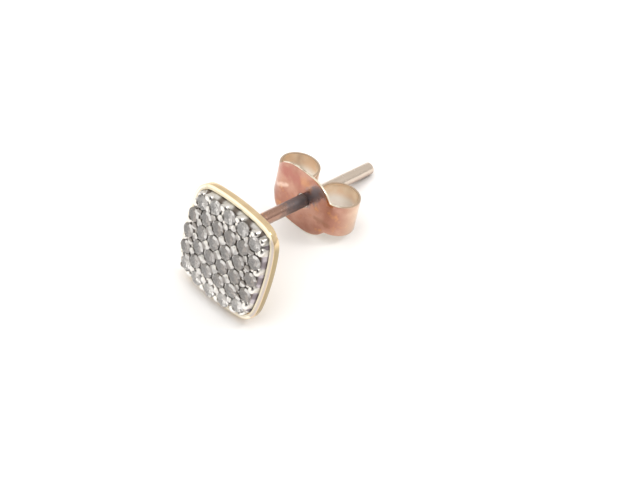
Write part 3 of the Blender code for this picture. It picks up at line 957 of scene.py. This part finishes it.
def make_clutch(finishes):
    """The clutch's strip, bent to its form, given its thickness, and drilled."""
    bm = bmesh.new()
    bmesh.ops.create_grid(bm, x_segments=STRIP_STEPS, y_segments=STRIP_ROWS, size=1)
    reach = ear_centre() + EAR_TURN * (EAR_HALF_WIDTH + EAR_HALF_DEPTH - SHEET) / 2
    for vertex in bm.verts:
        vertex.co = strip_place(vertex.co.x * reach, vertex.co.y)
    sheet = in_scene("sheet", mesh_of("sheet", bm))
    wall = sheet.modifiers.new("wall", "SOLIDIFY")
    wall.thickness = SHEET
    wall.offset = 0
    wall.use_even_offset = True
    radius = POST_RADIUS + HOLE_CLEARANCE
    hole = shaped("hole", [[circle(radius, level, HOLE_SIDES) for level in (-HAIR, SHEET + HAIR)]])
    bm = combine(sheet, [("DIFFERENCE", hole)])
    sharp = [edge for edge in bm.edges if len(edge.link_faces) == 2 and edge.calc_face_angle() > EDGE_ANGLE]
    bmesh.ops.bevel(bm, geom=sharp, offset=EDGE_ROUND, segments=2, profile=0.5, affect="EDGES", material=-1)
    assign_clutch_finishes(bm)
    clutch = finished("clutch_sheet", bm, CLUTCH, "clutch", finishes, sharp=40)
    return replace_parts(clutch, "butterfly_clutch")


# Stage

def make_floor():
    """The plain pale table."""
    bm = bmesh.new()
    bmesh.ops.create_grid(bm, x_segments=1, y_segments=1, size=1.0)
    mesh = mesh_of("table_top", bm)
    made, tree, shader = new_finish("pale_table")
    feed(tree, shader, {"Base Color": colour(0.92, 0.91, 0.90), "Roughness": 0.7})
    mesh.materials.append(made)
    floor = in_scene("table_top", mesh)


def facing(tree, where, way):
    """How squarely a direction from the earring faces a way, from -1 to 1."""
    return add(tree, "ShaderNodeVectorMath", {0: where, 1: way}, operation="DOT_PRODUCT").outputs["Value"]


def make_world():
    """A pale room, brighter behind the earring and in front of its face, and dark round the viewer."""
    world = bpy.data.worlds.new("soft_room")
    bpy.context.scene.world = world
    world.use_nodes = True
    tree = world.node_tree
    where = add(tree, "ShaderNodeTexCoord", {}).outputs["Generated"]
    behind = step(tree, facing(tree, where, Vector((-0.35, 0.80, 0.45)).normalized()), -0.2, 0.9)
    room = blend_colours(tree, behind, colour(0.50, 0.49, 0.48), colour(0.84, 0.82, 0.79))
    in_front = step(tree, facing(tree, where, Vector((-0.52, -0.84, 0.12)).normalized()), 0.72, 0.96)
    room = blend_colours(tree, in_front, room, colour(1.35, 1.31, 1.22))
    viewer = step(tree, facing(tree, where, camera_axes()[2]), 0.70, 0.97)
    room = blend_colours(tree, viewer, room, colour(0.07, 0.06, 0.06))
    feed(tree, tree.nodes["Background"], {"Color": room, "Strength": 1.0})


def area_light(name, place, size, power, mirrored=True):
    """A square soft light at a place in millimetres, facing the earring.

    Where it isn't mirrored, it shows in no polished metal or stone.
    """
    light = bpy.data.lights.new(name, "AREA")
    light.shape = "SQUARE"
    light.size = size * MM
    light.energy = power
    made = in_scene(name, light)
    made.location = Vector(place) * MM
    made.rotation_euler = (-made.location).to_track_quat("-Z", "Y").to_euler()
    made.visible_glossy = mirrored


def camera_axes():
    """The camera's right, up and back directions in the world."""
    level = cos(CAMERA_ELEVATION)
    back = Vector((level * sin(CAMERA_AZIMUTH), -level * cos(CAMERA_AZIMUTH), sin(CAMERA_ELEVATION)))
    right = Vector((cos(CAMERA_AZIMUTH), sin(CAMERA_AZIMUTH), 0))
    up = back.cross(right)
    turned_right = right * cos(CAMERA_ROLL) + up * sin(CAMERA_ROLL)
    turned_up = up * cos(CAMERA_ROLL) - right * sin(CAMERA_ROLL)
    return turned_right, turned_up, back


def make_camera():
    """The photograph's camera, placed so that the face's middle falls on its pixel."""
    right, up, back = camera_axes()
    aside = (FACE_PIXEL_X - PHOTO_WIDTH / 2) / FOCAL_PIXELS
    rise = (PHOTO_HEIGHT / 2 - FACE_PIXEL_Y) / FOCAL_PIXELS
    place = HEAD.translation + (back - right * aside - up * rise) * CAMERA_DISTANCE * MM
    data = bpy.data.cameras.new("photo_camera")
    data.sensor_width = SENSOR_WIDTH
    data.lens = FOCAL_PIXELS / PHOTO_WIDTH * SENSOR_WIDTH
    data.clip_start = 0.001
    data.clip_end = 10
    camera = in_scene("photo_camera", data)
    camera.matrix_world = Matrix.Translation(place) @ Matrix((right, up, back)).transposed().to_4x4()
    bpy.context.scene.camera = camera


make_camera()
make_world()
make_floor()
area_light("table_lamp", (-15, -20, 160), size=240, power=0.30, mirrored=False)
area_light("window", (70, 90, 120), size=30, power=0.06)
make_tray(yellow_gold_finish())
make_post(post_finish())
make_pave_plate(rhodium_finish())
make_stones([diamond_finish(), lit_facet_finish()])
make_clutch([pink_gold_finish(), ear_inside_finish(), cut_edge_finish()])
bpy.context.scene.view_settings.view_transform = "Standard"
